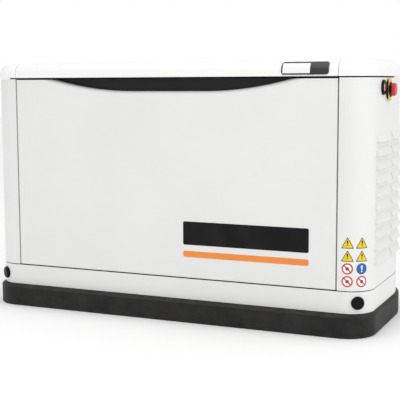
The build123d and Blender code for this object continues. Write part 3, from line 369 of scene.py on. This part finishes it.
SLOT_FINISH = {
    "cabinet_paint": cabinet_paint, "lid_paint": lid_paint, "pad_composite": pad_plastic,
    "seal_rubber": seal_rubber, "black_plastic": black_plastic, "foam_liner": foam_liner,
    "zinc_steel": zinc_steel, "frame_paint": frame_paint, "cast_aluminium": cast_aluminium,
    "lock_chrome": lock_chrome, "stop_red": stop_red, "stop_yellow": stop_yellow,
    "electrical_steel": lamination_steel, "shaft_steel": shaft_steel, "muffler_steel": muffler_steel,
    "battery_case": battery_plastic, "filter_paint": filter_paint, "hose_rubber": hose_rubber,
    "plug_ceramic": plug_ceramic, "button_plastic": button_plastic, "fuel_yellow": die_cast_zinc,
    "badge_plastic": badge_white,
}

for part in frame["record"]["subparts"]:
    mesh = nodes[part["node"]].data
    mesh.materials.clear()
    mesh.materials.append(SLOT_FINISH[part["material_slot"]])


# ---------------------------------------------------------------- mesh helpers

def make_piece(name, shape, materials, body):
    """Object from a bmesh, riding on a body and taking the finishes it is given."""
    mesh = bpy.data.meshes.new(name)
    bmesh.ops.recalc_face_normals(shape, faces=shape.faces)
    shape.to_mesh(mesh)
    shape.free()
    for material in materials:
        mesh.materials.append(material)
    piece = bpy.data.objects.new(name, mesh)
    bpy.context.scene.collection.objects.link(piece)
    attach(piece, body)


def add_plate(shape, outline, place, bottom, top, material_index=0):
    """Closed plate from a 2-D outline; place(u, v, lift) gives each point in the frame."""
    low = [shape.verts.new(place(u, v, bottom)) for u, v in outline]
    high = [shape.verts.new(place(u, v, top)) for u, v in outline]
    faces = [shape.faces.new(high), shape.faces.new(low[::-1])]
    for first in range(len(outline)):
        second = (first + 1) % len(outline)
        faces.append(shape.faces.new((low[first], low[second], high[second], high[first])))
    for face in faces:
        face.material_index = material_index


def circle_points(radius, count, centre=(0.0, 0.0)):
    """Points round a circle."""
    turn = 2 * math.pi / count
    return [(centre[0] + radius * math.cos(turn * step), centre[1] + radius * math.sin(turn * step))
            for step in range(count)]


def rounded_rectangle(width, height, radius, steps=6):
    """Outline of a rectangle with round corners, centred on the origin."""
    points = []
    for corner, (side, rise) in enumerate(((1, 1), (-1, 1), (-1, -1), (1, -1))):
        centre = (side * (width / 2 - radius), rise * (height / 2 - radius))
        for step in range(steps + 1):
            angle = math.radians(90 * corner + 90 * step / steps)
            points.append((centre[0] + radius * math.cos(angle), centre[1] + radius * math.sin(angle)))
    return points


# ---------------------------------------------------------------- stripes on the front panel

def front_place(u, v, lift):
    """Point on the front face: along X, up Z, lifted out of the face."""
    return Vector((u, FRONT - lift, v))


# name, material, lower edge, upper edge
STRIPES = (("dark_band", print_black, 0.226, 0.294), ("orange_stripe", print_orange, 0.190, 0.208))
STRIPE_MIDDLE = 0.244
STRIPE_WIDTH = 0.380
STRIPE_ROUNDING = 0.005
STRIPE_FILM = (-0.0002, 0.0004)


def make_front_stripes():
    """Plain dark band with an orange stripe under it, printed film on the front panel."""
    for name, material, low, high in STRIPES:
        shape = bmesh.new()
        outline = [(STRIPE_MIDDLE + u, (low + high) / 2 + v)
                   for u, v in rounded_rectangle(STRIPE_WIDTH, high - low, STRIPE_ROUNDING)]
        add_plate(shape, outline, front_place, *STRIPE_FILM)
        make_piece(name, shape, [material], "front_door")


make_front_stripes()


# ---------------------------------------------------------------- safety signs on the corner

def corner_place(u, v, lift):
    """Point u metres of arc round the corner from the flat front, at height v, lifted off the paint."""
    angle = max(0.0, u) / CORNER_RADIUS
    reach = CORNER_RADIUS + lift
    flat = min(0.0, u)
    x = CORNER_START + flat + reach * math.sin(angle)
    y = FRONT + CORNER_RADIUS - reach * math.cos(angle)
    return Vector((x, y, v))


STRIP_WIDTH = 0.003
NARROWEST_STRIP = 0.0005


def add_curved_plate(shape, outline, centre, layer, material_index):
    """Plate whose outline is cut into narrow upright strips so that it follows the corner."""
    bottom, top = layer
    flat = bmesh.new()
    flat.faces.new([flat.verts.new((u, v, 0)) for u, v in outline])
    lows = min(u for u, _ in outline)
    highs = max(u for u, _ in outline)
    cut = lows + STRIP_WIDTH
    while cut < highs - NARROWEST_STRIP:
        bmesh.ops.bisect_plane(flat, geom=flat.verts[:] + flat.edges[:] + flat.faces[:],
                               plane_co=(cut, 0, 0), plane_no=(1, 0, 0))
        cut += STRIP_WIDTH
    bmesh.ops.triangulate(flat, faces=flat.faces[:])
    extruded = bmesh.ops.extrude_face_region(flat, geom=flat.faces[:])
    raised = {vert for vert in extruded["geom"] if isinstance(vert, bmesh.types.BMVert)}
    for vert in flat.verts:
        lift = top if vert in raised else bottom
        vert.co = corner_place(centre[0] + vert.co.x, centre[1] + vert.co.y, lift)
    mesh = bpy.data.meshes.new("strip")
    for face in flat.faces:
        face.material_index = material_index
    flat.to_mesh(mesh)
    flat.free()
    shape.from_mesh(mesh)
    bpy.data.meshes.remove(mesh)


def triangle(side, shift=0.0):
    """Upright triangle outline with blunted corners."""
    height = side * 0.86
    blunt = side * 0.07
    return [(-side / 2 + blunt / 2, -height / 2 + shift), (side / 2 - blunt / 2, -height / 2 + shift),
            (side / 2 - blunt / 4, -height / 2 + blunt + shift), (blunt / 2, height / 2 + shift),
            (-blunt / 2, height / 2 + shift), (-side / 2 + blunt / 4, -height / 2 + blunt + shift)]


SIGN_ROWS = (0.2605, 0.2245, 0.1900, 0.1550)
SIGN_COLUMNS = (0.0120, 0.0520)
SIGN_SIDE = 0.034
SIGN_RADIUS = 0.0155
BACKING = (-0.0002, 0.0002)
FIELD = (0.0001, 0.0004)
DOT = (0.0003, 0.0005)
MARK = (0.0003, 0.0006)
BAR_HALF_WIDTH = 0.0016
DOT_RADIUS = 0.0045
BOLD = 1.3
EXCLAMATION = ([(-0.0013, -0.0020), (0.0013, -0.0020), (0.0020, 0.0070), (-0.0020, 0.0070)],
               circle_points(0.0017, 12, (0.0, -0.0055)))


def make_warning_sign(name, centre):
    """Yellow triangle with a dark border and an exclamation mark."""
    shape = bmesh.new()
    add_curved_plate(shape, triangle(SIGN_SIDE), centre, BACKING, 0)
    add_curved_plate(shape, triangle(SIGN_SIDE * 0.84, -0.0006), centre, FIELD, 1)
    for mark in EXCLAMATION:
        add_curved_plate(shape, mark, centre, MARK, 0)
    make_piece(name, shape, [print_black, sign_yellow], "cabinet")


def make_round_sign(name, centre, rim, barred):
    """Round sign: either a white field with a dot and a bar, or a plain disc with a white mark."""
    shape = bmesh.new()
    add_curved_plate(shape, circle_points(SIGN_RADIUS, 40), centre, BACKING, 0)
    if barred:
        add_curved_plate(shape, circle_points(SIGN_RADIUS * 0.76, 40), centre, FIELD, 1)
        add_curved_plate(shape, circle_points(DOT_RADIUS, 20), centre, DOT, 2)
        half, reach = BAR_HALF_WIDTH, SIGN_RADIUS * 0.84
        tilt = Matrix.Rotation(math.radians(-45), 2)
        bar = [tuple(tilt @ Vector(corner)) for corner in
               ((-reach, -half), (reach, -half), (reach, half), (-reach, half))]
        add_curved_plate(shape, bar, centre, MARK, 0)
    else:
        for mark in EXCLAMATION:
            bold = [(u * BOLD, v * BOLD) for u, v in mark]
            add_curved_plate(shape, bold, centre, FIELD, 1)
    make_piece(name, shape, [rim, sign_white, print_black], "cabinet")


def make_safety_signs():
    """Two columns of four generic signs on the front right corner."""
    for row, height in enumerate(SIGN_ROWS):
        for column, across in enumerate(SIGN_COLUMNS):
            name = f"safety_sign_{row + 1}{'ab'[column]}"
            if row < 2:
                make_warning_sign(name, (across, height))
            elif (row, column) == (2, 1):
                make_round_sign(name, (across, height), sign_blue, barred=False)
            else:
                make_round_sign(name, (across, height), sign_red, barred=True)


make_safety_signs()


# ---------------------------------------------------------------- controller display

DISPLAY_DROP = 0.057
DISPLAY_RECESS = 0.004
DISPLAY_SIZE = (0.098, 0.048)
STATUS_BAR_LENGTH = 0.060
STATUS_BAR_STEP = 0.012


def make_display():
    """Glass of the controller display, with three blank status bars on it."""
    centre = ((fascia_low.x + fascia_high.x) / 2, fascia_high.z - DISPLAY_DROP)
    floor = fascia_low.y + DISPLAY_RECESS

    def place(u, v, lift):
        return Vector((centre[0] + u, floor - lift, centre[1] + v))

    shape = bmesh.new()
    add_plate(shape, rounded_rectangle(*DISPLAY_SIZE, 0.002), place, 0.0001, 0.0025)
    for row in range(3):
        length = STATUS_BAR_LENGTH - row * STATUS_BAR_STEP
        bar = [(u - 0.010, v + STATUS_BAR_STEP - row * STATUS_BAR_STEP)
               for u, v in rounded_rectangle(length, 0.004, 0.001)]
        add_plate(shape, bar, place, 0.0024, 0.0027, 1)
    make_piece("display_glass", shape, [screen_glass, sign_blue], "cabinet")


make_display()


# ---------------------------------------------------------------- screws and bolts

# radius and height of each kind of head
PANEL_SCREW = (0.0062, 0.0030)
HINGE_SCREW = (0.0045, 0.0022)
CONTROLLER_SCREW = (0.0038, 0.0020)
COVER_BOLT = (0.0065, 0.0050)
CLAMP_SCREW = (0.0048, 0.0060)
LAMP_DOME = (0.0036, 0.0022)


def add_screw_head(shape, centre, normal, size):
    """Domed head with a round recess, standing on a face."""
    radius, height = size
    turn = Vector((0, 0, 1)).rotation_difference(Vector(normal)).to_matrix().to_4x4()
    place = Matrix.Translation(Vector(centre)) @ turn
    rings = []
    profile = ((radius, -0.0003), (radius, height * 0.45), (radius * 0.92, height * 0.75),
               (radius * 0.70, height * 0.96), (radius * 0.50, height), (radius * 0.46, height * 0.55))
    sides = 24
    for reach, rise in profile:
        rings.append([shape.verts.new(place @ Vector((reach * math.cos(2 * math.pi * side / sides),
                                                      reach * math.sin(2 * math.pi * side / sides), rise)))
                      for side in range(sides)])
    for lower, upper in zip(rings, rings[1:]):
        for side in range(sides):
            follow = (side + 1) % sides
            shape.faces.new((lower[side], lower[follow], upper[follow], upper[side]))
    shape.faces.new(rings[-1])
    shape.faces.new(rings[0][::-1])


def make_screws(name, places, normal, size, material):
    """One piece on the cabinet holding the heads of a set of equal screws."""
    shape = bmesh.new()
    for centre in places:
        add_screw_head(shape, centre, normal, size)
    make_piece(name, shape, [material], "cabinet")


REAR_SCREW_INSET = 0.015
REAR_SCREW_START = 0.03
REAR_SCREW_STEP = 0.1275
LEAF_THICKNESS = 0.0025
HINGE_SPREAD = 0.220
LEAF_SCREW_STEP = 0.028
LEAF_SCREW_RISE = 0.014
CONTROLLER_SCREW_INSET = 0.010


def make_cabinet_screws():
    """Screws of the rear panel, hinge leaves and controller."""
    rear_face = rear_high.y
    rear_places = [(side * (rear_high.x - REAR_SCREW_INSET), rear_face,
                    rear_low.z + REAR_SCREW_START + step * REAR_SCREW_STEP)
                   for side in (-1, 1) for step in range(5)]
    make_screws("rear_panel_screws", rear_places, (0, 1, 0), PANEL_SCREW, shaft_steel)
    leaf_low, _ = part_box("hinge_wall_leaves")
    leaf_places = [(side * HINGE_SPREAD + step * LEAF_SCREW_STEP, rear_face + LEAF_THICKNESS,
                    leaf_low.z + LEAF_SCREW_RISE)
                   for side in (-1, 1) for step in (-1, 0, 1)]
    make_screws("hinge_screws", leaf_places, (0, 1, 0), HINGE_SCREW, shaft_steel)
    corner = CONTROLLER_SCREW_INSET
    fascia_places = [(x, fascia_low.y, z) for x in (fascia_low.x + corner, fascia_high.x - corner)
                     for z in (fascia_low.z + corner, fascia_high.z - corner)]
    make_screws("controller_screws", fascia_places, (0, -1, 0), CONTROLLER_SCREW,
                shaft_steel)


make_cabinet_screws()


# ---------------------------------------------------------------- engine details

crank = Vector([joint for joint in frame["joints"] if joint["name"] == "shaft_spin"][0]["pos_m"])
BANK_TURN = math.radians(45.0)
COVER_REACH = 0.298
BANK_SHIFT = 0.018
BOLT_HALF_LENGTH = 0.046
BOLT_HALF_WIDTH = 0.036
GUARD_RINGS = (0.018, 0.032, 0.046, 0.060, 0.072)
GUARD_REACH = 0.080
GUARD_STANDOFF = 0.0012
GUARD_WIRE = 0.0024
SPOKE_HALF_WIDTH = 0.0014
CLAMP_RADIUS = 0.0101
CLAMP_HALF_WIDTH = 0.0045
CLAMP_THICKNESS = 0.0008


def make_rocker_cover_bolts():
    """Four bolts on each rocker cover, square to its cylinder bank."""
    for lean, label in ((-1, "front"), (1, "rear")):
        way = Vector((0.0, lean * math.sin(BANK_TURN), math.cos(BANK_TURN)))
        across = Vector((0.0, math.cos(BANK_TURN), -lean * math.sin(BANK_TURN)))
        middle = crank + Vector((-lean * BANK_SHIFT, 0.0, 0.0)) + way * COVER_REACH
        places = [middle + Vector((side * BOLT_HALF_LENGTH, 0.0, 0.0)) + across * rise * BOLT_HALF_WIDTH
                  for side in (-1, 1) for rise in (-1, 1)]
        make_screws(f"{label}_cover_bolts", places, way, COVER_BOLT, zinc_steel)


def add_ring(shape, centre, axis, radius, half_width, thickness, turns=48):
    """Flat band bent round an axis, with a rectangular section."""
    turn = Vector((0, 0, 1)).rotation_difference(Vector(axis)).to_matrix().to_4x4()
    place = Matrix.Translation(Vector(centre)) @ turn
    section = ((radius, -half_width), (radius + thickness, -half_width),
               (radius + thickness, half_width), (radius, half_width))
    rings = []
    for step in range(turns):
        angle = 2 * math.pi * step / turns
        across, up = math.cos(angle), math.sin(angle)
        rings.append([shape.verts.new(place @ Vector((reach * across, reach * up, rise)))
                      for reach, rise in section])
    for step in range(turns):
        here, after = rings[step], rings[(step + 1) % turns]
        for corner in range(4):
            follow = (corner + 1) % 4
            shape.faces.new((here[corner], after[corner], after[follow], here[follow]))


def make_fan_guard():
    """Wire guard over the cooling air intake: rings on four spokes."""
    _, housing_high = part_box("blower_housing")
    centre = Vector((housing_high.x + GUARD_STANDOFF, crank.y, crank.z))
    shape = bmesh.new()
    for radius in GUARD_RINGS:
        add_ring(shape, centre, (1, 0, 0), radius, GUARD_STANDOFF, GUARD_WIRE)
    start, end, half = GUARD_RINGS[0], GUARD_REACH, SPOKE_HALF_WIDTH
    for spoke in range(4):
        angle = math.radians(45 + 90 * spoke)
        way = Vector((0.0, math.cos(angle), math.sin(angle)))
        side = Vector((0.0, -math.sin(angle), math.cos(angle)))

        def place(u, v, lift):
            return centre + way * u + side * v + Vector((GUARD_STANDOFF + lift, 0.0, 0.0))

        add_plate(shape, [(start, -half), (end, -half), (end, half), (start, half)],
                  place, 0.0, GUARD_WIRE)
    make_piece("fan_guard", shape, [zinc_steel], "cabinet")


def make_hose_clamps():
    """Worm-drive clamps at both ends of the fuel hose."""
    low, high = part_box("fuel_hose")
    shape = bmesh.new()
    ends = (((low.x + 0.010, high.y - 0.010, low.z + 0.014), (0, 0, 1)),
            ((high.x - 0.014, low.y + 0.010, high.z - 0.010), (1, 0, 0)))
    for centre, axis in ends:
        add_ring(shape, centre, axis, CLAMP_RADIUS, CLAMP_HALF_WIDTH, CLAMP_THICKNESS)
        screw = Vector(centre) + Vector((0, -CLAMP_RADIUS - CLAMP_THICKNESS, 0))
        add_screw_head(shape, screw, (0, -1, 0), CLAMP_SCREW)
    make_piece("hose_clamps", shape, [shaft_steel], "cabinet")


def make_battery_label():
    """Blank label with a coloured edge on the front of the battery."""
    low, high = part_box("battery")
    centre_x, centre_z = (low.x + high.x) / 2, low.z + (high.z - low.z) * 0.42

    def place(u, v, lift):
        return Vector((centre_x + u, low.y - lift, centre_z + v))

    shape = bmesh.new()
    add_plate(shape, rounded_rectangle(0.150, 0.070, 0.004), place, -0.0002, 0.0003)
    band = [(u, v + 0.026) for u, v in rounded_rectangle(0.142, 0.010, 0.002)]
    add_plate(shape, band, place, 0.0002, 0.0005, 1)
    make_piece("battery_label", shape, [sign_white, sign_yellow], "cabinet")


def make_oil_filter_band():
    """Coloured band round the oil filter can."""
    low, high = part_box("oil_filter")
    centre = ((low.x + high.x) / 2, (low.y + high.y) / 2 - 0.004, (low.z + high.z) / 2)
    shape = bmesh.new()
    add_ring(shape, centre, (0, 1, 0), (high.x - low.x) / 2, 0.012, 0.0003, turns=72)
    make_piece("oil_filter_band", shape, [sign_blue], "cabinet")


make_rocker_cover_bolts()
make_fan_guard()
make_hose_clamps()
make_battery_label()
make_oil_filter_band()


# ---------------------------------------------------------------- marks on the mode buttons, lamps

def make_button_marks():
    """Bar, ring and triangle on the three mode buttons."""
    marks = {
        "auto": [(-0.0012, -0.0050), (0.0012, -0.0050), (0.0012, 0.0050), (-0.0012, 0.0050)],
        "off": circle_points(0.0045, 28),
        "manual": [(-0.0035, -0.0045), (0.0050, 0.0), (-0.0035, 0.0045)],
    }
    for label, outline in marks.items():
        low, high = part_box(f"{label}_button")
        centre_x, centre_z = (low.x + high.x) / 2, (low.z + high.z) / 2

        def place(u, v, lift):
            return Vector((centre_x + u, low.y - lift, centre_z + v))

        shape = bmesh.new()
        add_plate(shape, outline, place, -0.0001, 0.0002)
        if label == "off":
            add_plate(shape, circle_points(0.0030, 24), place, 0.0001, 0.0003, 1)
        make_piece(f"{label}_mark", shape, [sign_white, button_plastic], f"{label}_key")


LAMP_INSET = 0.070
LAMP_STEP = 0.030
LAMP_DROP = 0.108


def make_status_lamps():
    """Three small lamps in a row under the display."""
    shape = bmesh.new()
    for lamp in range(3):
        centre = (fascia_low.x + LAMP_INSET + lamp * LAMP_STEP, fascia_low.y, fascia_high.z - LAMP_DROP)
        before = len(shape.faces)
        add_screw_head(shape, centre, (0, -1, 0), LAMP_DOME)
        shape.faces.ensure_lookup_table()
        for face in shape.faces[before:]:
            face.material_index = lamp
    make_piece("status_lamps", shape, [sign_blue, sign_yellow, stop_red], "cabinet")


make_button_marks()
make_status_lamps()


# ---------------------------------------------------------------- badge

BADGE_SPLIT = 0.61
BADGE_BORDER = 0.0040
BADGE_DARK = (0.012, 0.012, 0.013)


def print_badge():
    """Dark right-hand field and a dark border line, printed on the white badge."""
    tree = badge_white.node_tree
    shader = [one for one in tree.nodes if one.type == "BSDF_PRINCIPLED"][0]
    coordinates = add_node(tree, "ShaderNodeTexCoord").outputs["Object"]
    place = add_node(tree, "ShaderNodeSeparateXYZ", links=[("Vector", coordinates)])
    split = badge_low.x + (badge_high.x - badge_low.x) * BADGE_SPLIT
    dark = arithmetic(tree, "GREATER_THAN", place.outputs["X"], split)
    for axis, low, high in (("X", badge_low.x, badge_high.x), ("Z", badge_low.z, badge_high.z)):
        past_low = arithmetic(tree, "LESS_THAN", place.outputs[axis], low + BADGE_BORDER)
        past_high = arithmetic(tree, "GREATER_THAN", place.outputs[axis], high - BADGE_BORDER)
        dark = arithmetic(tree, "MAXIMUM", dark, arithmetic(tree, "MAXIMUM", past_low, past_high))
    plain = shader.inputs["Base Color"].links[0].from_socket
    tree.links.new(mix_colour(tree, dark, plain, BADGE_DARK), shader.inputs["Base Color"])


print_badge()


# ---------------------------------------------------------------- studio

FLOOR_HALF_SIZE = 14.0
LIGHT_TARGET = (0.0, 0.0, 0.4)
# name, place, width, power
SOFTBOXES = (("softbox above", (0.4, -1.2, 3.2), 2.6, 14.0),
             ("softbox right", (3.2, -1.4, 1.7), 2.2, 16.0))
LOW_BRIGHTNESS = 0.68
HIGH_BRIGHTNESS = 1.0
CAMERA_PLACE = (1.2516, -2.8477, 0.6919)
CAMERA_TURN = (24.16, 6.81, -0.226)
LENS = 88.48
SENSOR = 36.0


def make_floor():
    """Pale studio floor."""
    paper = finish("studio paper", GRAIN, (0.99, 0.99, 0.99), (0.98, 0.98, 0.98),
                   (0.75, 0.85), (0.02, 0.0002))
    shape = bmesh.new()
    bmesh.ops.create_grid(shape, x_segments=8, y_segments=8, size=FLOOR_HALF_SIZE)
    mesh = bpy.data.meshes.new("studio_floor")
    shape.to_mesh(mesh)
    shape.free()
    mesh.materials.append(paper)
    floor = bpy.data.objects.new("studio_floor", mesh)
    bpy.context.scene.collection.objects.link(floor)


def add_light(name, place, size, power):
    """Square softbox aimed at the middle of the cabinet."""
    lamp = bpy.data.lights.new(name, "AREA")
    lamp.shape = "SQUARE"
    lamp.size = size
    lamp.energy = power
    light = bpy.data.objects.new(name, lamp)
    light.location = place
    light.rotation_euler = (Vector(LIGHT_TARGET) - Vector(place)).to_track_quat("-Z", "Y").to_euler()
    bpy.context.scene.collection.objects.link(light)


def make_studio():
    """White surroundings that are brighter overhead, with softboxes above and to the right."""
    world = bpy.data.worlds.new("studio")
    world.use_nodes = True
    tree = world.node_tree
    backdrop = tree.nodes["Background"]
    direction = add_node(tree, "ShaderNodeTexCoord").outputs["Generated"]
    height = add_node(tree, "ShaderNodeSeparateXYZ", links=[("Vector", direction)]).outputs["Z"]
    lit = span(tree, height, -0.2, 0.9, LOW_BRIGHTNESS, HIGH_BRIGHTNESS)
    seen = add_node(tree, "ShaderNodeLightPath").outputs["Is Camera Ray"]
    tree.links.new(arithmetic(tree, "MAXIMUM", lit, seen), backdrop.inputs["Strength"])
    backdrop.inputs["Color"].default_value = (1.0, 1.0, 1.0, 1.0)
    bpy.context.scene.world = world
    for softbox in SOFTBOXES:
        add_light(*softbox)
    bpy.context.scene.view_settings.view_transform = "Standard"


def make_camera():
    """Long lens just under the lid's height, to the right of the front; turns are yaw, dip and roll."""
    yaw, dip, roll = (math.radians(angle) for angle in CAMERA_TURN)
    forward = Vector((-math.sin(yaw) * math.cos(dip), math.cos(yaw) * math.cos(dip), -math.sin(dip)))
    level = Vector((math.cos(yaw), math.sin(yaw), 0.0))
    upright = level.cross(forward)
    right = math.cos(roll) * level + math.sin(roll) * upright
    up = -math.sin(roll) * level + math.cos(roll) * upright
    lens = bpy.data.cameras.new("camera")
    lens.lens = LENS
    lens.sensor_width = SENSOR
    camera = bpy.data.objects.new("camera", lens)
    turn = Matrix((right, up, -forward)).transposed().to_4x4()
    camera.matrix_world = Matrix.Translation(Vector(CAMERA_PLACE)) @ turn
    bpy.context.scene.collection.objects.link(camera)
    bpy.context.scene.camera = camera


make_floor()
make_studio()
make_camera()
